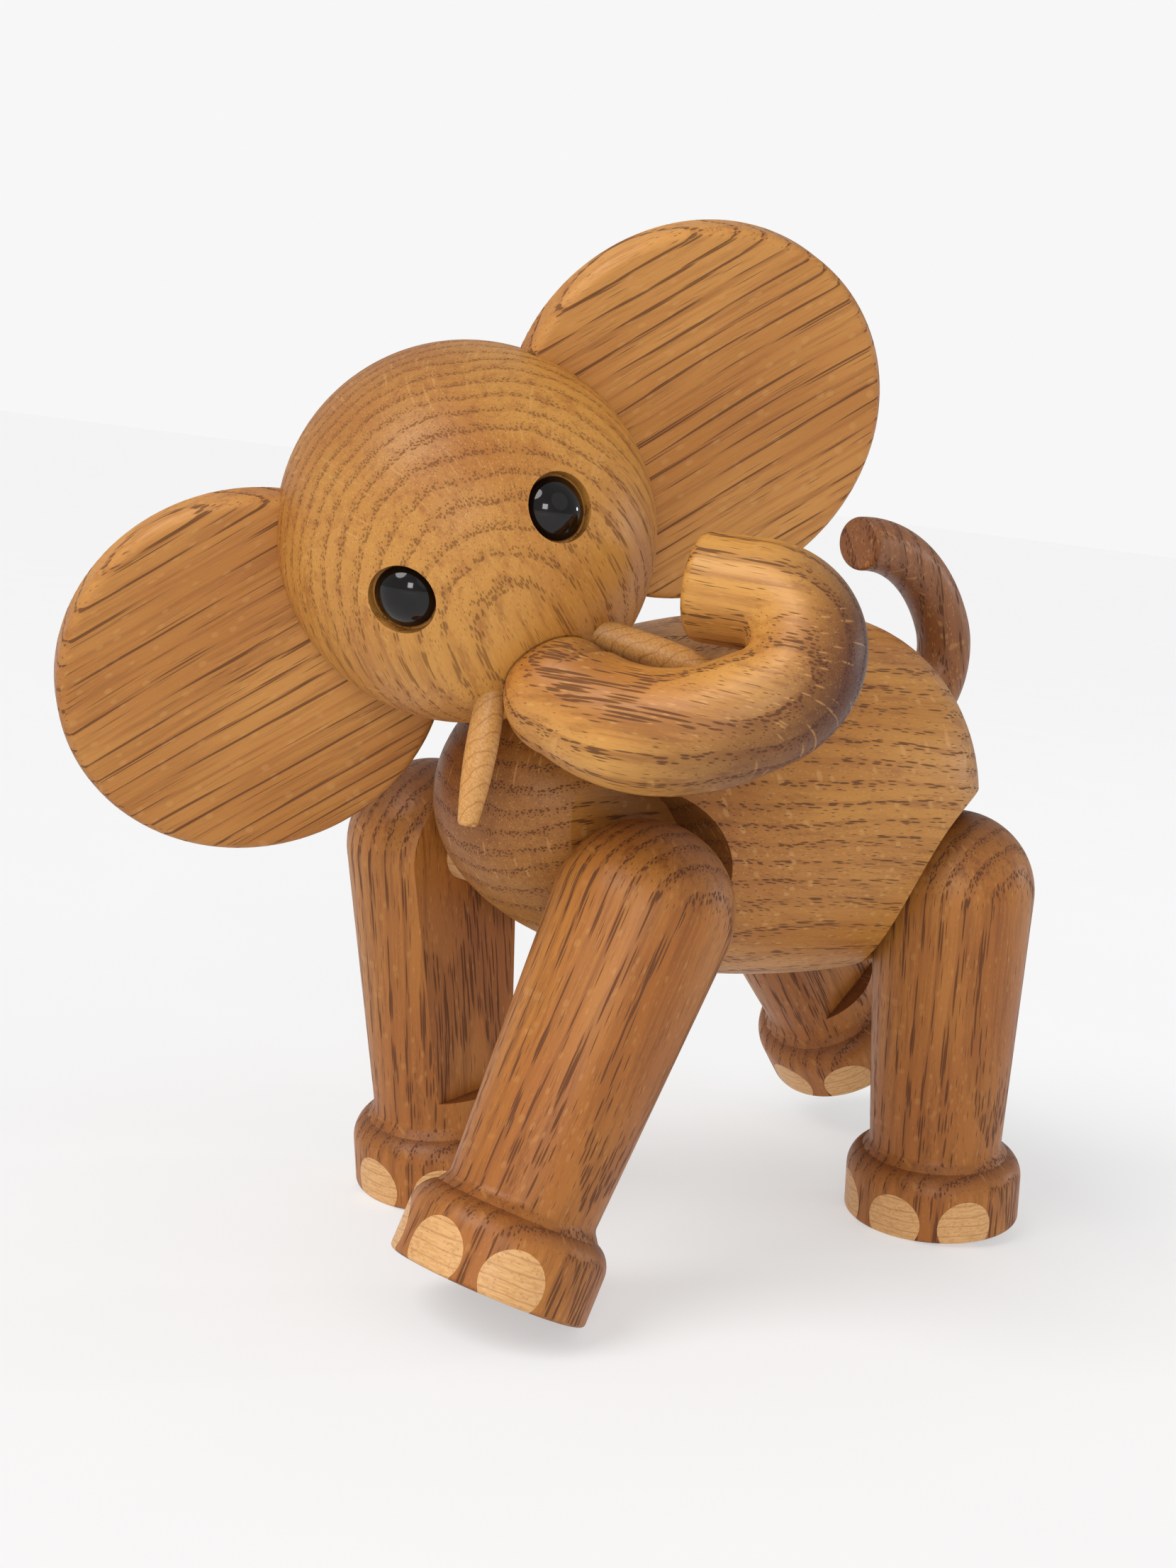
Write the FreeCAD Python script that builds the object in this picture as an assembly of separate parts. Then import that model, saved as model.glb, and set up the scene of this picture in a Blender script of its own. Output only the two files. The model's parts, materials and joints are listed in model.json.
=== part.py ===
"""Turned oak elephant with a pegged head, trunk, tail and four pegged legs.

Units are millimetres.  The elephant faces -Y, its left side is +X and +Z is up.
The origin is on the floor, straight below the middle of the whole figure's box.
Each piece is made in the frame of what it belongs to and is then placed:
  body frame  Y along the axis of the egg, origin on that axis
  leg frame   X along the axle, Z up the leg, origin where the axle crosses the leg
  head frame  origin at the ball's centre, face towards -Y, crown towards +Z
"""

import FreeCAD, Part
import math
import os

# ---- body: an egg turned about the Y axis, fattest behind its middle ----
body_radius = 30.4
body_front = 78.0           # from the fattest section to the nose
body_rear = 23.6            # from the fattest section to the rump
body_fat_y = 18.4           # where the fattest section lies
egg_power = 2.2             # 2 is an ellipse, more is boxier
rump_flat_radius = 1.5      # where the egg was parted off

# ---- legs: four alike, each turned with a domed top and a round foot ----
leg_length = 57.6           # axle to sole
leg_top_radius = 13.5
ankle_radius = 11.2
ankle_height = 13.0
ankle_fillet = 1.6
foot_radius = 14.9
foot_side_height = 7.4
foot_top_radius = 12.35     # inner end of the round shoulder over the foot's side
foot_top_height = 11.4
foot_shoulder_bulge = 0.7   # of that shoulder's arc over its chord
sole_round = 0.6
leg_cheek = 8.4             # axle line to the flat that faces the body, along X
leg_cheek_bottom = 17.4     # lower end of that flat above the sole
leg_inset = 6.7             # centre of a leg inside the body's widest radius
leg_offset = body_radius - leg_inset
axle_front_y = -43.4
axle_rear_y = 31.5
axle_drop = 12.3            # axles below the body's axis
pocket_clear = 4.3          # round pocket in the flank beyond the leg's dome
pocket_radius = leg_top_radius + pocket_clear

# ---- the way it stands: swing is forward for plus, toes turn out for plus ----
STANCE = {
    "front_left": {"side": 1, "y": axle_front_y, "swing": 22.0, "toe_out": 6.0},
    "front_right": {"side": -1, "y": axle_front_y, "swing": -11.9, "toe_out": 0.0},
    "rear_left": {"side": 1, "y": axle_rear_y, "swing": -7.9, "toe_out": 12.0},
    "rear_right": {"side": -1, "y": axle_rear_y, "swing": -42.0, "toe_out": 4.0},
}
STANDING = ("front_left", "front_right", "rear_left")

# ---- toenails: plugs let in flush round the front of each foot ----
nail_radius = 4.7
nail_height = 2.8           # centre above the sole
nail_spacing = 48.0         # degrees between neighbours
nail_depth = 2.6

# ---- head: a ball that turns on an inclined peg ----
head_radius = 27.0
neck_base_y = -27.0         # where the neck peg's line crosses the body's axis
neck_tilt = 44.5            # degrees forward of upright
neck_gap = 0.4              # between the ball and the body, along the neck peg
head_turn = 60.0            # degrees to the elephant's left
face_pitch = 41.5           # degrees the face looks down when it is straight ahead

# ---- ears: round discs let into slots ----
ear_radius = 28.1
ear_thickness = 5.2
ear_front_round = 1.5
ear_back_round = 0.8
ear_centre_x = 36.9
ear_centre_z = -4.1
ear_front_y = 1.0

# ---- eyes: domed buttons in flat-bottomed sockets ----
eye_azimuth = 28.4
eye_elevation = 16.6
socket_radius = 4.8
socket_depth = 2.2
eye_radius = 4.3
eye_rim = 0.6
eye_dome = 2.4

# ---- tusks: slim spindles, glued in the head ----
tusk_azimuth = 22.0
tusk_elevation = -28.0
tusk_direction = (0.655, -0.408, -0.638)
tusk_length = 17.6          # proud of the head
tusk_in_head = 5.0
tusk_root_radius = 1.5      # at its inner end
tusk_wide_radius = 2.25     # at the middle of its length
tusk_tip_radius = 1.35
tusk_tip_round = 0.6

# ---- trunk: a tapering round bar, bent in one plane ----
trunk_elevation = -28.0     # of its peg on the face
trunk_seat_radius = 6.6     # of the flat that it turns on
trunk_lobe_radius = 8.3
trunk_wide_radius = 8.6
trunk_bend_radius = 8.1
trunk_tip_radius = 7.6
trunk_sweep_radius = 21.5   # first, wide bend
trunk_sweep = 80.0
trunk_reach = 4.0           # straight between the bends
trunk_curl_radius = 9.0     # second, tight bend
trunk_curl = 145.0
trunk_end = 9.0             # straight after the tight bend
trunk_tip_round = 1.6
trunk_slim_share = 0.15     # of its length, from the tight bend's start to where it's slim

# ---- tail: a thinner bar, bent in the middle plane ----
tail_root_radius = 4.8
tail_tip_radius = 4.55
tail_height = 12.0          # of its root above the body's axis
tail_tilt = 16.0            # degrees that its peg rises from the body's axis
tail_flat_depth = 0.9       # of the flat on the rump that it turns on
tail_stub = 2.8             # straight out of the rump
tail_low_bend = 11.5
tail_low_turn = 107.0
tail_high_bend = 28.0
tail_high_turn = 63.0
tail_tip_round = 0.8

# ---- pegs and clearances ----
running_gap = 0.3           # between faces that slide past each other
peg_gap = 0.1               # round a peg in the bore that it turns in
bore_relief = 1.0           # bore deeper than its peg
axle_radius = 4.0
axle_in_leg = 12.0
axle_in_body = 10.0
neck_peg_radius = 4.0
neck_peg_in_head = 13.0
neck_peg_in_body = 15.0
trunk_peg_radius = 3.0
trunk_peg_in_trunk = 6.5
trunk_peg_in_head = 10.0
tail_peg_radius = 2.5
tail_peg_in_tail = 3.4
tail_peg_in_body = 12.0

bar_rings = 33              # round sections that each bent bar is lofted through
close = 1e-3                # millimetres that count as touching
V = FreeCAD.Vector
ORIGIN = V(0, 0, 0)
X, Y, Z = V(1, 0, 0), V(0, 1, 0), V(0, 0, 1)


# ------------------------------------------------------------------ helpers
def placement(at=ORIGIN, axis=Z, degrees=0.0):
    """A turn about an axis through the origin, followed by a shift."""
    return FreeCAD.Placement(at, FreeCAD.Rotation(axis, degrees))


def placed(shape, where):
    """A copy of the shape, moved by a placement."""
    moved = shape.copy()
    moved.transformShape(where.toMatrix(), True)
    return moved


def direction(azimuth, elevation):
    """Unit vector in the head frame; azimuth 0 is the face, plus is to its left."""
    a, e = math.radians(azimuth), math.radians(elevation)
    return V(math.sin(a) * math.cos(e), -math.cos(a) * math.cos(e), math.sin(e))


def rod(start, along, length, radius):
    return Part.makeCylinder(radius, length, start, along)


def round_edges(solid, radius, wanted):
    """Fillet the edges that the test function picks."""
    return solid.makeFillet(radius, [edge for edge in solid.Edges if wanted(edge)])


def body_section(y):
    """Radius of the egg at a place on its axis."""
    reach = body_front if y < body_fat_y else body_rear
    share = min(abs(y - body_fat_y) / reach, 1.0)
    return body_radius * (1 - share ** egg_power) ** (1 / egg_power)


def bent_bar(route, radii):
    """Round bar along a plane route; radii are (share of the length, radius)."""
    edges = route.Edges
    across = route.findPlane().Axis
    rings = []
    for i in range(bar_rings):
        share = i / (bar_rings - 1)
        distance = share * route.Length
        step = 0
        while step < len(edges) - 1 and distance > edges[step].Length:
            distance -= edges[step].Length
            step += 1
        edge = edges[step]
        at = edge.getParameterByLength(min(distance, edge.Length))
        radius = smooth_step(share, radii)
        ring = Part.Circle(edge.valueAt(at), edge.tangentAt(at), radius)
        ring.XAxis = across
        rings.append(Part.Wire(ring.toShape()))
    return Part.makeLoft(rings, True, False)


def smooth_step(share, table):
    """Value at a share of the way along a short table, eased between its rows."""
    for (s0, v0), (s1, v1) in zip(table, table[1:]):
        if share <= s1:
            ease = (1 - math.cos(math.pi * (share - s0) / (s1 - s0))) / 2
            return v0 + (v1 - v0) * ease
    return table[-1][1]


def plane_route(start, forward, sideways, steps):
    """Wire of straights ("run", length) and bends ("bend", radius, degrees) in one
    plane.  Bends turn from the forward direction towards the sideways direction."""
    at, heading, edges = start, 0.0, []

    def along(degrees):
        a = math.radians(degrees)
        return forward * math.cos(a) + sideways * math.sin(a)

    for step in steps:
        if step[0] == "run":
            end = at + along(heading) * step[1]
            edges.append(Part.makeLine(at, end))
        else:
            centre = at + along(heading + 90) * step[1]
            middle = centre - along(heading + step[2] / 2 + 90) * step[1]
            end = centre - along(heading + step[2] + 90) * step[1]
            edges.append(Part.Arc(at, middle, end).toShape())
            heading += step[2]
        at = end
    return Part.Wire(edges)


def bulged(start, end, bulge):
    """Arc in the XZ plane that stands out by a height over its chord."""
    chord = end - start
    outward = V(chord.z, 0, -chord.x).normalize()
    return Part.Arc(start, (start + end) / 2 + outward * bulge, end).toShape()


def end_ring(bar, route, radius):
    """The bar with its far end's edge rounded."""
    end = route.Edges[-1].Vertexes[-1].Point
    return round_edges(bar, radius, lambda edge: (edge.CenterOfMass - end).Length < radius / 4)


# ------------------------------------------------------------------ places
def leg_frame(name):
    """Leg frame in the body frame, swung as it stands."""
    leg = STANCE[name]
    at = V(leg["side"] * leg_offset, leg["y"], -axle_drop)
    return placement(at, X, -leg["swing"])


def standing_point(name):
    """Where a standing foot's rounded sole touches the floor, in the body frame."""
    heel = 1 if STANCE[name]["swing"] > 0 else -1
    rim = V(0, heel * (foot_radius - sole_round), sole_round - leg_length)
    return leg_frame(name).multVec(rim) - Z * sole_round


def stance():
    """Body frame in the world: the standing feet's three points lie on the floor."""
    a, b, c = (standing_point(name) for name in STANDING)
    upright = (b - a).cross(c - a).normalize()
    if upright.z < 0:
        upright = upright * -1
    turn = FreeCAD.Rotation(upright, Z)
    lift = -turn.multVec(a).z
    return FreeCAD.Placement(V(0, 0, lift), turn)


STAND = stance()
NECK = V(0, -math.sin(math.radians(neck_tilt)), math.cos(math.radians(neck_tilt)))


def neck_seat_distance():
    """Along the neck line, from the body's axis to the egg's surface."""
    near, far = 0.0, body_front
    while far - near > close / 10:
        middle = (near + far) / 2
        inside = NECK.z * middle < body_section(neck_base_y + NECK.y * middle)
        near, far = (middle, far) if inside else (near, middle)
    return near


neck_base = V(0, neck_base_y, 0)
neck_seat = neck_base + NECK * neck_seat_distance()
head_centre = neck_seat + NECK * (head_radius + neck_gap)
head_rotation = FreeCAD.Rotation(NECK, head_turn).multiply(FreeCAD.Rotation(X, face_pitch))
HEAD = STAND.multiply(FreeCAD.Placement(head_centre, head_rotation))
NECK_IN_HEAD = head_rotation.inverted().multVec(NECK)
TRUNK_AXIS = direction(0, trunk_elevation)
trunk_seat = math.sqrt(head_radius ** 2 - trunk_seat_radius ** 2)


def tail_root():
    """Middle of the flat on the rump that the tail turns on."""
    rise = (1 - (tail_height / body_radius) ** egg_power) ** (1 / egg_power)
    return V(0, body_fat_y + body_rear * rise, tail_height) - TAIL_OUT * tail_flat_depth


tilt = math.radians(tail_tilt)
TAIL_OUT = V(0, math.cos(tilt), math.sin(tilt))
TAIL_UP = V(0, -math.sin(tilt), math.cos(tilt))


# ------------------------------------------------------------------ legs
def plain_leg():
    """Turned leg about Z with its sole at -leg_length and the axle line at 0."""
    lean = (leg_top_radius - ankle_radius) / (leg_length - ankle_height)
    dome_start = math.degrees(math.atan(lean))
    lean_cos, lean_sin = math.cos(math.radians(dome_start)), math.sin(math.radians(dome_start))
    neck = V(leg_top_radius * lean_cos, 0, -leg_top_radius * lean_sin)
    ankle = V(ankle_radius, 0, ankle_height - leg_length)
    dome_middle = math.radians((90 - dome_start) / 2)
    sole = -leg_length
    p_sole = V(foot_radius - sole_round, 0, sole)
    p_side = V(foot_radius, 0, sole + sole_round)
    p_high = V(foot_radius, 0, sole + foot_side_height)
    p_top = V(foot_top_radius, 0, sole + foot_top_height)
    diagonal = sole_round * (1 - math.sqrt(0.5))
    p_edge = V(foot_radius - diagonal, 0, sole + diagonal)
    p_dome = V(leg_top_radius * math.cos(dome_middle), 0, leg_top_radius * math.sin(dome_middle))
    edges = [
        Part.makeLine(V(0, 0, sole), p_sole),
        Part.Arc(p_sole, p_edge, p_side).toShape(),
        Part.makeLine(p_side, p_high),
        bulged(p_high, p_top, foot_shoulder_bulge),
        Part.makeLine(p_top, ankle),
        Part.makeLine(ankle, neck),
        Part.Arc(neck, p_dome, V(0, 0, leg_top_radius)).toShape(),
        Part.makeLine(V(0, 0, leg_top_radius), V(0, 0, sole)),
    ]
    solid = Part.Face(Part.Wire(edges)).revolve(ORIGIN, Z, 360)

    def is_ankle(edge):
        box = edge.BoundBox
        return abs(box.ZMax - ankle.z) < close and abs(box.ZMin - ankle.z) < close

    return round_edges(solid, ankle_fillet, is_ankle)


def nail_plug(azimuth):
    """Radial plug through the foot's side, in a leg frame whose toes face -Y."""
    outward = V(math.sin(math.radians(azimuth)), -math.cos(math.radians(azimuth)), 0)
    start = outward * (foot_radius - nail_depth) + V(0, 0, nail_height - leg_length)
    return rod(start, outward, nail_depth * 2, nail_radius)


def leg_parts(name):
    """The leg, its axle and its three nails, placed in the world."""
    side = STANCE[name]["side"]
    outer = plain_leg()
    reach = leg_top_radius + foot_radius
    cheek = Part.makeBox(reach, 4 * reach, 2 * leg_length)
    cheek_x = -leg_cheek - reach if side > 0 else leg_cheek
    cheek.translate(V(cheek_x, -2 * reach, leg_cheek_bottom - leg_length))
    leg = outer.cut(cheek)
    inward = V(-side, 0, 0)
    inner_end = leg_cheek + running_gap + axle_in_body
    axle = rod(inward * (leg_cheek - axle_in_leg), inward, inner_end - leg_cheek + axle_in_leg, axle_radius)
    leg = leg.cut(axle)
    middle = side * STANCE[name]["toe_out"]
    nails = {}
    for label, azimuth in (("inner", -side), ("middle", 0), ("outer", side)):
        plug = nail_plug(middle + azimuth * nail_spacing)
        nails[label] = plug.common(outer)
        leg = leg.cut(plug)
    where = STAND.multiply(leg_frame(name))
    pieces = {"leg_" + name: leg, "axle_" + name: axle}
    for label, nail in nails.items():
        pieces["nail_" + name + "_" + label] = nail
    return {node: placed(shape, where) for node, shape in pieces.items()}


# ------------------------------------------------------------------ body
def egg():
    """The plain turned egg about the Y axis: a spline outline with a small flat at the rump."""
    points = []
    steps = 16
    for i in range(2 * steps + 1):
        turn = math.pi * i / (2 * steps)
        reach = body_front if turn < math.pi / 2 else body_rear
        along = math.copysign(abs(math.cos(turn)) ** (2 / egg_power), math.cos(turn))
        out = math.sin(turn) ** (2 / egg_power)
        points.append(V(0, body_fat_y - along * reach, body_radius * out))
    nose, rump = points[0], V(0, body_fat_y + body_rear, 0)
    points[-1] = rump + Z * rump_flat_radius
    curve = Part.BSplineCurve()
    curve.interpolate(Points=points, InitialTangent=Z, FinalTangent=Z * -1)
    outline = [curve.toShape(), Part.makeLine(points[-1], rump), Part.makeLine(rump, nose)]
    return Part.Face(Part.Wire(outline)).revolve(ORIGIN, Y, 360)


def body():
    """Egg with four flank pockets, the head's seat, the tail's flat and six bores."""
    solid = egg()
    floor_x = leg_offset - leg_cheek - running_gap
    for leg in STANCE.values():
        outward = V(leg["side"], 0, 0)
        at = V(0, leg["y"], -axle_drop)
        solid = solid.cut(rod(at + outward * floor_x, outward, body_radius, pocket_radius))
        bore_depth = axle_in_body + bore_relief
        start = at + outward * (floor_x - bore_depth)
        solid = solid.cut(rod(start, outward, body_radius, axle_radius + peg_gap))
    solid = solid.cut(Part.makeSphere(head_radius + running_gap, head_centre))
    neck_bore = neck_peg_in_body + bore_relief
    bottom = neck_seat - NECK * neck_bore
    solid = solid.cut(rod(bottom, NECK, neck_bore * 2, neck_peg_radius + peg_gap))
    root = tail_root()
    solid = solid.cut(rod(root, TAIL_OUT, body_rear, tail_root_radius * 2))
    tail_bore = tail_peg_in_body + bore_relief
    solid = solid.cut(rod(root - TAIL_OUT * tail_bore, TAIL_OUT, tail_bore * 2, tail_peg_radius + peg_gap))
    return placed(solid, STAND)


# ------------------------------------------------------------------ head group
def ear_blank(side):
    """Plain disc in the head frame, as wide as the slot that it's let into."""
    return rod(V(side * ear_centre_x, ear_front_y, ear_centre_z), Y, ear_thickness, ear_radius)


def ear(side):
    """The disc with its rims rounded, its front face towards the face."""
    disc = round_edges(ear_blank(side), ear_front_round, lambda e: rim_at(e, ear_front_y))
    return round_edges(disc, ear_back_round, lambda e: rim_at(e, ear_front_y + ear_thickness))


def rim_at(edge, y):
    return edge.BoundBox.YLength < close and abs(edge.BoundBox.YMin - y) < close


def eye(side):
    """Domed button, standing on the flat floor of its socket."""
    out = direction(side * eye_azimuth, eye_elevation)
    floor = out * (head_radius - socket_depth)
    rim = rod(floor, out, eye_rim, eye_radius)
    dome_radius = (eye_radius ** 2 + eye_dome ** 2) / (2 * eye_dome)
    base = floor + out * eye_rim
    ball = Part.makeSphere(dome_radius, base + out * (eye_dome - dome_radius))
    dome = ball.common(rod(base, out, eye_dome * 2, eye_radius))
    return rim.fuse(dome).removeSplitter()


def tusk(side):
    """Slim spindle with a blunt tip; its inner end is glued in the head."""
    at = direction(side * tusk_azimuth, tusk_elevation) * head_radius
    out = V(side * tusk_direction[0], tusk_direction[1], tusk_direction[2]).normalize()
    length = tusk_length + tusk_in_head
    inner, wide = V(tusk_root_radius, 0, 0), V(tusk_wide_radius, 0, length / 2)
    tip = V(tusk_tip_radius, 0, length)
    outline = [Part.Arc(inner, wide, tip).toShape(), Part.makeLine(tip, Z * length),
               Part.makeLine(Z * length, ORIGIN), Part.makeLine(ORIGIN, inner)]
    solid = Part.Face(Part.Wire(outline)).revolve(ORIGIN, Z, 360)
    solid = round_edges(solid, tusk_tip_round, lambda e: e.BoundBox.ZMin > length - close)
    return placed(solid, FreeCAD.Placement(at - out * tusk_in_head, FreeCAD.Rotation(Z, out)))


def trunk():
    """Bent bar with a round lobe that stands on the head's flat."""
    lobe_rise = math.sqrt(trunk_lobe_radius ** 2 - trunk_seat_radius ** 2)
    foot = TRUNK_AXIS * (trunk_seat + running_gap)
    lobe_centre = foot + TRUNK_AXIS * lobe_rise
    route = plane_route(foot, TRUNK_AXIS, X, [
        ("bend", trunk_sweep_radius, trunk_sweep),
        ("run", trunk_reach),
        ("bend", trunk_curl_radius, trunk_curl),
        ("run", trunk_end),
    ])
    before = math.radians(trunk_sweep) * trunk_sweep_radius
    curl_start = (before + trunk_reach) / route.Length
    radii = [(0.0, trunk_lobe_radius), (curl_start / 2, trunk_wide_radius),
             (curl_start + trunk_slim_share, trunk_bend_radius), (1.0, trunk_tip_radius)]
    bar = end_ring(bent_bar(route, radii), route, trunk_tip_round)
    wide = 3 * trunk_lobe_radius
    below = rod(lobe_centre - TRUNK_AXIS * wide, TRUNK_AXIS, wide, wide / 2)
    lobe = Part.makeSphere(trunk_lobe_radius, lobe_centre).common(rod(foot, TRUNK_AXIS, wide, wide))
    return bar.cut(below).fuse(lobe).cut(trunk_peg()).removeSplitter()


def trunk_peg():
    start = TRUNK_AXIS * (trunk_seat - trunk_peg_in_head)
    length = trunk_peg_in_head + running_gap + trunk_peg_in_trunk
    return rod(start, TRUNK_AXIS, length, trunk_peg_radius)


def neck_peg():
    """Round peg glued in the head, turning in the body; in the head frame."""
    inner = neck_peg_in_head - head_radius
    length = neck_peg_in_head + neck_gap + neck_peg_in_body
    return rod(NECK_IN_HEAD * (inner - length), NECK_IN_HEAD, length, neck_peg_radius)


def head():
    """Ball with ear slots, eye sockets, tusk holes, the trunk's flat and two bores."""
    solid = Part.makeSphere(head_radius)
    solid = solid.cut(rod(TRUNK_AXIS * trunk_seat, TRUNK_AXIS, head_radius, head_radius))
    peg_bore = trunk_peg_in_head + bore_relief
    start = TRUNK_AXIS * (trunk_seat - peg_bore)
    solid = solid.cut(rod(start, TRUNK_AXIS, peg_bore * 2, trunk_peg_radius + peg_gap))
    solid = solid.cut(neck_peg())
    for side in (1, -1):
        solid = solid.cut(ear_blank(side))
        out = direction(side * eye_azimuth, eye_elevation)
        floor = out * (head_radius - socket_depth)
        solid = solid.cut(rod(floor, out, socket_depth * 3, socket_radius))
        solid = solid.cut(tusk(side))
    return solid


# ------------------------------------------------------------------ tail
def tail():
    """Bent bar behind the rump, curving up and forward in the middle plane."""
    route = plane_route(tail_root() + TAIL_OUT * running_gap, TAIL_OUT, TAIL_UP, [
        ("run", tail_stub),
        ("bend", tail_low_bend, tail_low_turn),
        ("bend", tail_high_bend, tail_high_turn),
    ])
    bar = bent_bar(route, [(0.0, tail_root_radius), (1.0, tail_tip_radius)])
    return placed(end_ring(bar, route, tail_tip_round).cut(tail_peg()), STAND)


def tail_peg():
    start = tail_root() - TAIL_OUT * tail_peg_in_body
    return rod(start, TAIL_OUT, tail_peg_in_body + running_gap + tail_peg_in_tail, tail_peg_radius)


# ------------------------------------------------------------------ assembly
def all_parts():
    parts = {"body": body(), "tail": tail(), "tail_peg": placed(tail_peg(), STAND)}
    in_head = {"head": head(), "neck_peg": neck_peg(), "trunk": trunk(), "trunk_peg": trunk_peg()}
    for side, word in ((1, "left"), (-1, "right")):
        in_head["ear_" + word] = ear(side)
        in_head["eye_" + word] = eye(side)
        in_head["tusk_" + word] = tusk(side)
    for node, shape in in_head.items():
        parts[node] = placed(shape, HEAD)
    for name in STANCE:
        parts.update(leg_parts(name))
    return parts


def to_box_middle(parts):
    """Shift that brings the middle of the figure's box over the origin."""
    box = Part.makeCompound(list(parts.values())).optimalBoundingBox()
    return placement(V(-box.Center.x, -box.Center.y, 0))


os.makedirs("parts", exist_ok=True)
parts = all_parts()
shift = to_box_middle(parts)
for node, shape in parts.items():
    solid = placed(shape, shift).Solids[0]
    solid.exportStep("parts/" + node + ".step")
    print(node, len(shape.Solids), "solid", round(shape.Volume), "mm3", "valid", shape.isValid())
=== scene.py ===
"""Looks of the turned oak elephant: solid oak, maple, beech and glossy black, on a pale floor."""

import json
import math

import bmesh
import bpy
from mathutils import Matrix, Vector


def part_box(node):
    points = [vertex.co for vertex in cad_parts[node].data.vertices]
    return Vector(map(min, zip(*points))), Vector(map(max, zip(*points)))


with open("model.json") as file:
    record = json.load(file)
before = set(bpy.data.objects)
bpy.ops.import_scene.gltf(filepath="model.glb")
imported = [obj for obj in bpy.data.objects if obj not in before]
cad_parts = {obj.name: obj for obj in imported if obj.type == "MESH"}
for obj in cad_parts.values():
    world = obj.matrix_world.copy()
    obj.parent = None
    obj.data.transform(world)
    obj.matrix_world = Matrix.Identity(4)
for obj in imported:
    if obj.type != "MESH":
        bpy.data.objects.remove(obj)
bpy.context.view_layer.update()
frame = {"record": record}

MM = 0.001
JOINTS = {joint["name"]: joint for joint in frame["record"]["behaviour"]["joints"]}


# ------------------------------------------------------------------ places
def joint_at(name):
    return Vector(JOINTS[name]["pos_m"])


def joint_axis(name):
    return Vector(JOINTS[name]["axis"]).normalized()


def middle(node):
    low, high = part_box(node)
    return (Vector(low) + Vector(high)) / 2


HEAD_CENTRE = joint_at("head_turn")
FACE_PEG = joint_axis("trunk_turn")
EAR_LINE = (middle("ear_left") - middle("ear_right")).normalized()
FACE_UP = FACE_PEG.cross(EAR_LINE).normalized()
BODY_LINE = (joint_at("rear_left_swing") - joint_at("front_left_swing")).normalized()
BODY_UP = BODY_LINE.cross(joint_axis("front_left_swing")).normalized()
BODY_CENTRE = middle("body")


# ------------------------------------------------------------------ node helpers
def linear(value):
    """A screen colour (0 to 255 each) as linear light."""
    def channel(c):
        c = c / 255
        return c / 12.92 if c <= 0.04045 else ((c + 0.055) / 1.055) ** 2.4
    return [channel(c) for c in value] + [1.0]


class Graph:
    """Short calls that add and join shader nodes."""

    def __init__(self, name):
        self.material = bpy.data.materials.new(name)
        self.material.use_nodes = True
        self.tree = self.material.node_tree
        self.tree.nodes.clear()
        self.out = self.node("ShaderNodeOutputMaterial")
        self.shader = self.node("ShaderNodeBsdfPrincipled")
        self.join(self.shader.outputs["BSDF"], self.out.inputs["Surface"])

    def node(self, kind, **settings):
        node = self.tree.nodes.new(kind)
        for key, value in settings.items():
            setattr(node, key, value)
        return node

    def join(self, source, socket):
        self.tree.links.new(source, socket)

    def put(self, socket, value):
        """A socket takes a link, or a constant."""
        if isinstance(value, bpy.types.NodeSocket):
            self.join(value, socket)
        else:
            socket.default_value = value

    def math(self, operation, a, b=0.0, c=0.0, clamp=False):
        node = self.node("ShaderNodeMath", operation=operation, use_clamp=clamp)
        for socket, value in zip(node.inputs, (a, b, c)):
            self.put(socket, value)
        return node.outputs[0]

    def ramp(self, value, low, high, to_low=0.0, to_high=1.0):
        """Eased step from one value to another as the input goes from low to high."""
        node = self.node("ShaderNodeMapRange", interpolation_type="SMOOTHSTEP")
        for socket, item in zip(node.inputs, (value, low, high, to_low, to_high)):
            self.put(socket, item)
        return node.outputs[0]

    def scaled(self, vector, factors):
        node = self.node("ShaderNodeVectorMath", operation="MULTIPLY")
        self.put(node.inputs[0], vector)
        node.inputs[1].default_value = factors
        return node.outputs[0]

    def added(self, a, b):
        node = self.node("ShaderNodeVectorMath", operation="ADD")
        self.put(node.inputs[0], a)
        self.put(node.inputs[1], b)
        return node.outputs[0]

    def noise(self, vector, scale, detail=2.0, rough=0.5, output="Fac"):
        node = self.node("ShaderNodeTexNoise")
        self.put(node.inputs["Vector"], vector)
        node.inputs["Scale"].default_value = scale
        node.inputs["Detail"].default_value = detail
        node.inputs["Roughness"].default_value = rough
        return node.outputs[output]

    def cells(self, vector, output="Distance", randomness=1.0):
        node = self.node("ShaderNodeTexVoronoi")
        self.put(node.inputs["Vector"], vector)
        node.inputs["Scale"].default_value = 1.0
        node.inputs["Randomness"].default_value = randomness
        return node.outputs[output]

    def mix(self, amount, a, b, blend="MIX"):
        node = self.node("ShaderNodeMix", data_type="RGBA", blend_type=blend)
        self.put(node.inputs[0], amount)
        self.put(node.inputs[6], a)
        self.put(node.inputs[7], b)
        return node.outputs[2]

    def bump(self, height, strength, distance, before=None):
        node = self.node("ShaderNodeBump")
        node.inputs["Strength"].default_value = strength
        node.inputs["Distance"].default_value = distance
        self.put(node.inputs["Height"], height)
        if before is not None:
            self.join(before, node.inputs["Normal"])
        return node.outputs["Normal"]


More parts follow.
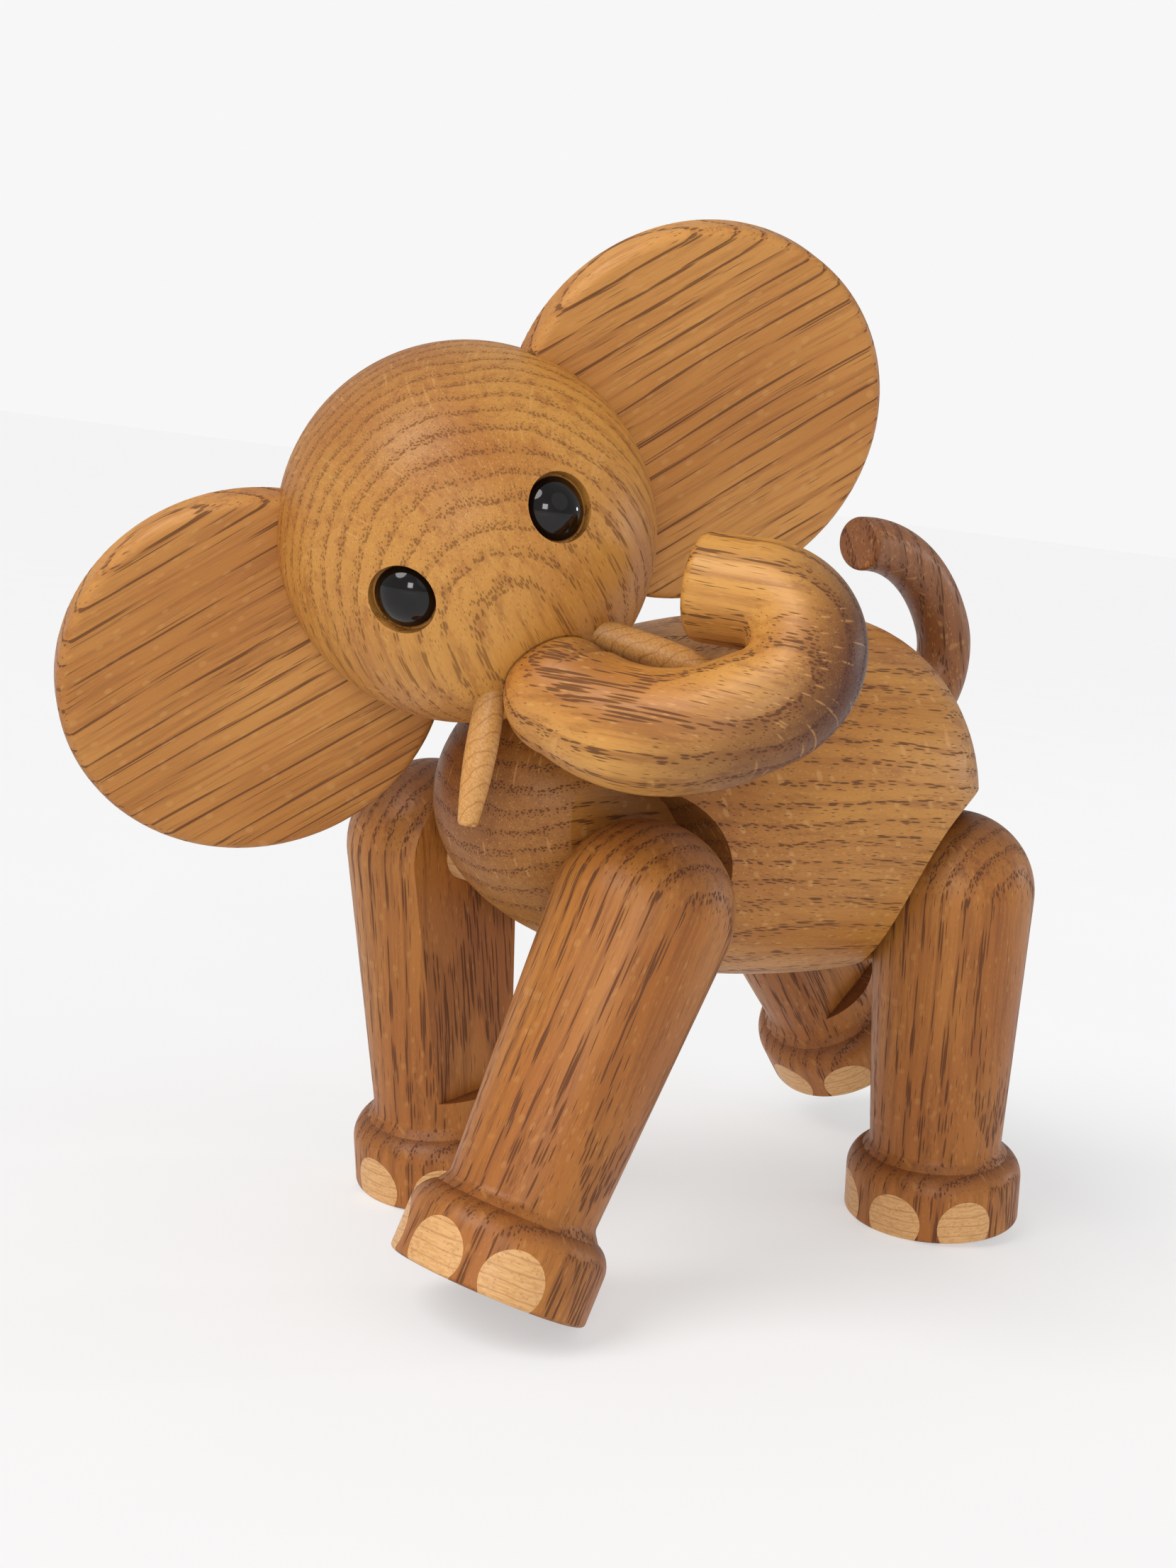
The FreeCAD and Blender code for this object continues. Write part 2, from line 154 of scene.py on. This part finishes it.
def wood_frame(graph, origin, grain, towards_pith, both_ends=True, end_focus=1.6):
    """Millimetre coordinates in the timber: Z along the grain, X towards the pith.
    Also gives how squarely the surface cuts across the grain, 0 to 1."""
    z = Vector(grain).normalized()
    x = (Vector(towards_pith) - z * Vector(towards_pith).dot(z)).normalized()
    y = z.cross(x)
    turn = Matrix((x, y, z))
    coords = graph.node("ShaderNodeTexCoord")
    mapping = graph.node("ShaderNodeMapping")
    mapping.inputs["Scale"].default_value = (1 / MM,) * 3
    mapping.inputs["Rotation"].default_value = turn.to_euler("XYZ")
    mapping.inputs["Location"].default_value = turn @ (Vector(origin) * (-1 / MM))
    graph.join(coords.outputs["Object"], mapping.inputs["Vector"])
    along = graph.node("ShaderNodeVectorMath", operation="DOT_PRODUCT")
    graph.join(coords.outputs["Normal"], along.inputs[0])
    along.inputs[1].default_value = z
    facing = graph.math("ABSOLUTE" if both_ends else "MAXIMUM", along.outputs["Value"])
    across = graph.math("POWER", facing, end_focus)
    return mapping.outputs["Vector"], across


PORE_DEPTH = 0.00012        # metres
FIBRE_DEPTH = 0.00008

OAK = {
    # colours, as seen on a screen
    "pale": (188, 130, 57), "gold": (166, 105, 42), "brown": (136, 78, 30), "pore": (76, 40, 18),
    "end": (116, 64, 28), "ray": (206, 154, 90),
    # the log, in millimetres
    "pith": 60.0,           # distance to the log's centre
    "ring": 3.0,            # width of a growth ring
    "warp": 2.4,            # how far the rings wander
    "bend": 9.0,            # how far the log bends
    "early": (0.12, 0.60),  # share of a ring where the wide pores thin out
    "pore_across": 0.46,
    "pore_along": 6.0,
    "ray_along": 3.0,
    # how strongly each thing shows, 0 to 1
    "ring_dark": 0.34, "pore_size": 0.30, "pore_dark": 0.75, "fleck": 0.35, "ray_strength": 0.28,
    "streak": 0.55, "end_dark": 0.55,
    "end_focus": 1.6,       # how tightly the end grain's dark gathers
    "both_ends": True,      # end grain shows on the near end too
    "rough": 0.44,
}


def growth_rings(g, s, place):
    """Slow noise bends the log and finer noise ruffles its rings. Gives the bent place, the
    distance from the pith, the arc round it, the share of a ring, and the early wood."""
    drift = g.noise(g.scaled(place, (0.03, 0.03, 0.012)), 1.0, 1.0, output="Color")
    drift = g.scaled(g.added(drift, (-0.5, -0.5, -0.5)), (s["bend"], s["bend"], 0.0))
    bent = g.added(place, drift)
    split = g.node("ShaderNodeSeparateXYZ")
    g.join(bent, split.inputs[0])
    px = g.math("SUBTRACT", s["pith"], split.outputs["X"])
    py = split.outputs["Y"]
    radius = g.math("SQRT", g.math("ADD", g.math("MULTIPLY", px, px), g.math("MULTIPLY", py, py)))
    ruffle = g.noise(g.scaled(place, (0.16, 0.16, 0.03)), 1.0, 3.0)
    radius = g.math("ADD", radius, g.math("MULTIPLY", ruffle, s["warp"]))
    arc = g.math("MULTIPLY", g.math("ARCTAN2", py, px), s["pith"])
    ring = g.math("FRACT", g.math("DIVIDE", radius, s["ring"]))
    early = g.math("SUBTRACT", 1.0, g.ramp(ring, *s["early"]))
    early = g.math("MULTIPLY", early, g.ramp(ring, 0.0, 0.06))
    return bent, radius, arc, ring, early


def vessels(g, s, place, bent, early):
    """Long thin pores, wide in early wood and sparse in late wood, and a finer set in patches."""
    thin = 1 / s["pore_across"]
    size = g.math("ADD", g.math("MULTIPLY", early, s["pore_size"]), 0.10)
    tubes = g.cells(g.scaled(bent, (thin, thin, 1 / s["pore_along"])))
    pores = g.ramp(tubes, g.math("ADD", size, 0.13), g.math("SUBTRACT", size, 0.04))
    finer, shorter = 1.9, 0.55
    fine = g.scaled(bent, (thin * finer, thin * finer, 1 / (s["pore_along"] * shorter)))
    patch = g.ramp(g.noise(g.scaled(place, (0.22, 0.22, 0.05)), 1.0, 2.0), 0.40, 0.62)
    return pores, g.math("MULTIPLY", g.ramp(g.cells(fine), 0.26, 0.12), patch)


def rays(g, s, bent, radius, arc, ring):
    """Thin radial sheets, paler than the wood round them, and short pale flecks in late wood."""
    height, width = 16.0, 0.9
    split = g.node("ShaderNodeSeparateXYZ")
    g.join(bent, split.inputs[0])
    sheet = g.node("ShaderNodeCombineXYZ")
    g.join(g.math("DIVIDE", radius, height), sheet.inputs["X"])
    g.join(g.math("DIVIDE", arc, width), sheet.inputs["Y"])
    g.join(g.math("DIVIDE", split.outputs["Z"], s["ray_along"]), sheet.inputs["Z"])
    sheets = g.ramp(g.cells(sheet.outputs[0]), 0.27, 0.14)
    flecks = g.ramp(g.cells(g.scaled(bent, (2.2, 2.2, 0.75))), 0.30, 0.14)
    return sheets, g.math("MULTIPLY", flecks, g.ramp(ring, 0.25, 0.55))


def oak(name, origin, grain, towards_pith, **changes):
    """Solid ring-porous oak, cut through wherever the surface lies."""
    s = dict(OAK, **changes)
    g = Graph(name)
    place, across = wood_frame(g, origin, grain, towards_pith, s["both_ends"], s["end_focus"])
    bent, radius, arc, ring, early = growth_rings(g, s, place)
    pores, small = vessels(g, s, place, bent, early)
    sheets, flecks = rays(g, s, bent, radius, arc, ring)

    # Colour, from slow shade to fine fibre.
    slow = g.ramp(g.noise(g.scaled(place, (0.05, 0.05, 0.02)), 1.0, 2.0), 0.32, 0.68)
    streaks = g.noise(g.scaled(bent, (0.75, 0.75, 0.035)), 1.0, 4.0, 0.6)
    fibre = g.noise(g.scaled(bent, (4.0, 4.0, 0.16)), 1.0, 3.0, 0.7)
    brown, pore, ray = linear(s["brown"]), linear(s["pore"]), linear(s["ray"])
    colour = g.mix(slow, linear(s["gold"]), linear(s["pale"]))
    colour = g.mix(g.ramp(streaks, 0.46, 0.72, 0.0, s["streak"]), colour, brown)
    colour = g.mix(g.math("MULTIPLY", early, s["ring_dark"]), colour, brown)
    colour = g.mix(g.ramp(fibre, 0.50, 0.78, 0.0, 0.40), colour, brown)
    colour = g.mix(g.math("MULTIPLY", across, s["end_dark"]), colour, linear(s["end"]))
    colour = g.mix(g.math("MULTIPLY", flecks, s["fleck"]), colour, ray)
    colour = g.mix(g.math("MULTIPLY", sheets, s["ray_strength"]), colour, ray)
    colour = g.mix(g.math("MULTIPLY", small, 0.45), colour, pore)
    colour = g.mix(g.math("MULTIPLY", pores, s["pore_dark"]), colour, pore)
    g.join(colour, g.shader.inputs["Base Color"])

    # The pores are dull and sunk; the fibre is faintly ridged.
    rough = g.math("ADD", g.math("MULTIPLY", pores, 0.28), g.math("MULTIPLY", fibre, 0.16))
    g.join(g.math("ADD", rough, s["rough"] - 0.08), g.shader.inputs["Roughness"])
    g.shader.inputs["Specular IOR Level"].default_value = 0.34
    hollow = g.math("ADD", g.math("MULTIPLY", pores, -1.0), g.math("MULTIPLY", small, -0.4))
    normal = g.bump(hollow, 0.55, PORE_DEPTH)
    g.join(g.bump(fibre, 0.22, FIBRE_DEPTH, normal), g.shader.inputs["Normal"])
    return g.material


def maple(name, origin, grain, towards_pith, pale, warm, line):
    """Close-grained pale wood with a fine fleck and faint growth lines."""
    g = Graph(name)
    place, across = wood_frame(g, origin, grain, towards_pith)
    split = g.node("ShaderNodeSeparateXYZ")
    g.join(place, split.inputs[0])
    wave = g.noise(g.scaled(place, (0.20, 0.20, 0.04)), 1.0, 2.0)
    rings = g.math("ADD", g.math("MULTIPLY", split.outputs["X"], 0.62), g.math("MULTIPLY", wave, 1.6))
    saw = g.math("FRACT", rings)
    lines = g.math("MULTIPLY", g.ramp(saw, 0.80, 0.95), g.ramp(saw, 1.0, 0.97))
    flecks = g.ramp(g.cells(g.scaled(place, (1.7, 5.0, 1.1))), 0.34, 0.16)
    grain_noise = g.noise(g.scaled(place, (3.4, 3.4, 0.5)), 1.0, 3.0, 0.6)
    colour = g.mix(g.ramp(grain_noise, 0.38, 0.68), linear(pale), linear(warm))
    colour = g.mix(g.math("MULTIPLY", flecks, 0.38), colour, linear(line))
    colour = g.mix(g.math("MULTIPLY", lines, 0.55), colour, linear(line))
    colour = g.mix(g.math("MULTIPLY", across, 0.18), colour, linear(line))
    g.join(colour, g.shader.inputs["Base Color"])
    g.join(g.math("ADD", g.math("MULTIPLY", grain_noise, 0.18), 0.36), g.shader.inputs["Roughness"])
    g.shader.inputs["Specular IOR Level"].default_value = 0.4
    normal = g.bump(grain_noise, 0.18, 0.00006)
    g.join(g.bump(flecks, 0.12, 0.00005, normal), g.shader.inputs["Normal"])
    return g.material


def beech(name, origin, along):
    """Plain peg wood."""
    return maple(name, origin, along, along.orthogonal(), (214, 170, 120), (200, 152, 102), (160, 108, 64))


def eye_black(name):
    """Deep black glazed bead with the faintest haze and polishing marks."""
    g = Graph(name)
    coords = g.node("ShaderNodeTexCoord").outputs["Object"]
    haze = g.noise(g.scaled(coords, (260.0,) * 3), 1.0, 3.0, 0.6)
    colour = g.mix(g.ramp(haze, 0.35, 0.75), linear((7, 5, 5)), linear((20, 13, 11)))
    g.join(colour, g.shader.inputs["Base Color"])
    dust = g.ramp(g.cells(g.scaled(coords, (2600.0,) * 3)), 0.14, 0.05)
    rough = g.math("ADD", g.math("MULTIPLY", dust, 0.22), g.math("MULTIPLY", haze, 0.05))
    g.join(g.math("ADD", rough, 0.05), g.shader.inputs["Roughness"])
    g.shader.inputs["Specular IOR Level"].default_value = 0.38
    g.join(g.bump(haze, 0.03, 0.00004), g.shader.inputs["Normal"])
    return g.material


# ------------------------------------------------------------------ materials on the nodes
BODY_OAK = {
    "pore_along": 4.5, "pore_across": 0.36, "pore_size": 0.27, "ring_dark": 0.2, "ray_strength": 0.4,
    "end_dark": 0.8,
}
HEAD_OAK = {
    "pale": (200, 142, 66), "gold": (178, 115, 47), "brown": (144, 84, 34),
    "pith": 46.0, "ring": 2.7, "pore_along": 7.0, "pore_across": 0.36, "pore_dark": 0.5,
    "ring_dark": 0.2, "fleck": 0.45, "end_dark": 0.35,
}
EAR_OAK = {
    "pale": (200, 140, 70), "gold": (178, 116, 52), "brown": (146, 86, 36),
    "pith": 90.0, "ring": 2.5, "early": (0.10, 0.34), "warp": 1.6, "bend": 4.0,
    "pore_along": 34.0, "pore_across": 0.38, "pore_size": 0.38, "pore_dark": 0.7,
    "fleck": 0.10, "end_dark": 0.5,
}
TRUNK_OAK = {
    "pale": (202, 146, 72), "gold": (182, 119, 52), "end": (74, 34, 22),
    "pith": 34.0, "ring": 4.0, "pore_along": 10.0, "pore_across": 0.40, "ray_strength": 0.4,
    "fleck": 0.2, "end_dark": 1.0, "end_focus": 0.75, "both_ends": False,
}
TAIL_OAK = {
    "pale": (152, 98, 56), "gold": (134, 82, 44), "brown": (108, 62, 30), "end": (98, 56, 28),
    "pore_along": 9.0,
}
LEG_OAK = {
    "pale": (176, 114, 49), "gold": (158, 94, 37), "brown": (124, 69, 26), "end": (100, 54, 24),
    "ring": 2.8, "pore_along": 11.0, "pore_across": 0.40, "fleck": 0.12, "ray_strength": 0.18,
    "streak": 0.7, "end_dark": 0.8,
}
TUSK_MAPLE = (206, 156, 92), (188, 130, 64), (150, 90, 38)      # pale, warm, line
NAIL_MAPLE = (212, 164, 108), (196, 144, 88), (160, 108, 60)


def dress(node, material):
    mesh = bpy.data.objects[node].data
    mesh.materials.clear()
    mesh.materials.append(material)


def dress_body():
    dress("body", oak("oak_body", BODY_CENTRE, BODY_LINE, BODY_UP, **BODY_OAK))


def dress_head():
    grain = FACE_UP - FACE_PEG * 0.25
    dress("head", oak("oak_head", HEAD_CENTRE, grain, FACE_PEG, **HEAD_OAK))
    for side, word in ((1, "left"), (-1, "right")):
        ear, tusk, eye = "ear_" + word, "tusk_" + word, "eye_" + word
        dress(ear, oak("oak_" + ear, middle(ear), EAR_LINE * side, FACE_UP, **EAR_OAK))
        dress(eye, eye_black("eye_black_" + word))
        dress(tusk, maple("maple_" + tusk, middle(tusk), FACE_UP, FACE_PEG, *TUSK_MAPLE))


def dress_trunk_and_tail():
    grain = FACE_PEG * 0.74 + EAR_LINE * 0.67
    dress("trunk", oak("oak_trunk", joint_at("trunk_turn"), grain, FACE_UP, **TRUNK_OAK))
    dress("tail", oak("oak_tail", middle("tail"), BODY_UP - BODY_LINE * 0.5, EAR_LINE, **TAIL_OAK))


def dress_legs():
    for leg in ("front_left", "front_right", "rear_left", "rear_right"):
        axle, hub = joint_axis(leg + "_swing"), joint_at(leg + "_swing")
        shin = next(Vector(m["axis"]) for m in frame["record"]["mounts"] if m["name"] == "sole_" + leg)
        dress("leg_" + leg, oak("oak_leg_" + leg, hub, shin, axle, **LEG_OAK))
        dress("axle_" + leg, beech("beech_axle_" + leg, hub, axle))
        for label in ("inner", "middle", "outer"):
            node = "nail_%s_%s" % (leg, label)
            out = middle(node) - (hub + shin * (middle(node) - hub).dot(shin))
            dress(node, maple("maple_" + node, middle(node), shin.cross(out), shin, *NAIL_MAPLE))


def dress_pegs():
    for node, joint in (("neck_peg", "head_turn"), ("trunk_peg", "trunk_turn"), ("tail_peg", "tail_turn")):
        dress(node, beech("beech_" + node, joint_at(joint), joint_axis(joint)))


# ------------------------------------------------------------------ studio
CAMERA_AZIMUTH = 44.81      # degrees round from the figure's front
CAMERA_ELEVATION = 7.76
CAMERA_ROLL = 7.16
CAMERA_DISTANCE = 0.3652
FOCAL_WIDTHS = 1.941        # focal length over the frame's width
AIM = Vector((-0.0100, -0.0006, 0.0700))
AIM_RIGHT, AIM_UP = -0.01316, 0.00298       # the camera's own shift off that point

FLOOR_REACH = 40.0
FLOOR_SHADES = (0.44, 0.44, 0.44, 1), (0.46, 0.46, 0.46, 1)
BACKDROP = 0.93             # radiance of the white studio that the camera sees
ROOM_LIGHT = 0.50           # and of the dimmer room that lights the figure
LAMP_DISTANCE = 1.2
FLOOR_GLOW = 0.472          # light from under the translucent floor


def studio_floor():
    """Wide pale floor that runs out to the white of the studio."""
    mesh = bmesh.new()
    bmesh.ops.create_grid(mesh, x_segments=1, y_segments=1, size=FLOOR_REACH)
    data = bpy.data.meshes.new("studio_floor")
    mesh.to_mesh(data)
    mesh.free()
    floor = bpy.data.objects.new("studio_floor", data)
    bpy.context.scene.collection.objects.link(floor)
    g = Graph("floor_paint")
    spots = g.noise(g.node("ShaderNodeTexCoord").outputs["Object"], 18.0, 3.0)
    g.join(g.mix(spots, *FLOOR_SHADES), g.shader.inputs["Base Color"])
    g.shader.inputs["Emission Color"].default_value = (1.0, 1.0, 1.0, 1)
    g.shader.inputs["Emission Strength"].default_value = FLOOR_GLOW
    g.shader.inputs["Roughness"].default_value = 0.9
    g.shader.inputs["Specular IOR Level"].default_value = 0.1
    data.materials.append(g.material)


def towards(azimuth, elevation):
    """Unit vector out to a light; azimuth is measured from the camera's, plus to its right."""
    a, e = math.radians(CAMERA_AZIMUTH + azimuth), math.radians(elevation)
    return Vector((math.sin(a) * math.cos(e), -math.cos(a) * math.cos(e), math.sin(e)))


def lamp(name, kind, azimuth, elevation, energy):
    light = bpy.data.lights.new(name, kind)
    light.energy = energy
    holder = bpy.data.objects.new(name, light)
    out = towards(azimuth, elevation)
    holder.location = AIM + out * LAMP_DISTANCE
    holder.rotation_euler = out.to_track_quat("Z", "Y").to_euler()
    bpy.context.scene.collection.objects.link(holder)
    return light


def camera():
    back = towards(0, CAMERA_ELEVATION)
    right = Vector((0, 0, 1)).cross(back).normalized()
    up = back.cross(right)
    roll = math.radians(CAMERA_ROLL)
    right, up = (right * math.cos(roll) + up * math.sin(roll), up * math.cos(roll) - right * math.sin(roll))
    data = bpy.data.cameras.new("camera")
    data.sensor_fit = "HORIZONTAL"
    data.sensor_width = 36.0
    data.lens = data.sensor_width * FOCAL_WIDTHS
    data.clip_start = 0.01
    data.clip_end = 20.0
    eye = bpy.data.objects.new("camera", data)
    place = AIM + right * AIM_RIGHT + up * AIM_UP + back * CAMERA_DISTANCE
    turn = Matrix((right, up, back)).transposed().to_4x4()
    eye.matrix_world = Matrix.Translation(place) @ turn
    bpy.context.scene.collection.objects.link(eye)
    bpy.context.scene.camera = eye


def studio():
    studio_floor()
    lamp("key", "SUN", azimuth=-48, elevation=46, energy=1.8).angle = math.radians(32)
    lamp("fill", "SUN", azimuth=48, elevation=34, energy=0.18).angle = math.radians(50)
    sparkle = lamp("sparkle", "AREA", azimuth=-3, elevation=16, energy=3.2)
    sparkle.shape = "SQUARE"
    sparkle.size = 0.30
    spot = lamp("side_spark", "AREA", azimuth=112, elevation=12, energy=1.2)
    spot.shape = "DISK"
    spot.size = 0.12
    world = bpy.data.worlds.new("studio")
    world.use_nodes = True
    nodes, links = world.node_tree.nodes, world.node_tree.links
    background = nodes["Background"]
    path = nodes.new("ShaderNodeLightPath")
    strength = nodes.new("ShaderNodeMapRange")
    strength.inputs["To Min"].default_value = ROOM_LIGHT
    strength.inputs["To Max"].default_value = BACKDROP
    links.new(path.outputs["Is Camera Ray"], strength.inputs["Value"])
    links.new(strength.outputs[0], background.inputs["Strength"])
    background.inputs["Color"].default_value = (1.0, 1.0, 1.0, 1)
    bpy.context.scene.world = world
    bpy.context.scene.view_settings.view_transform = "Standard"


dress_body()
dress_head()
dress_trunk_and_tail()
dress_legs()
dress_pegs()
camera()
studio()
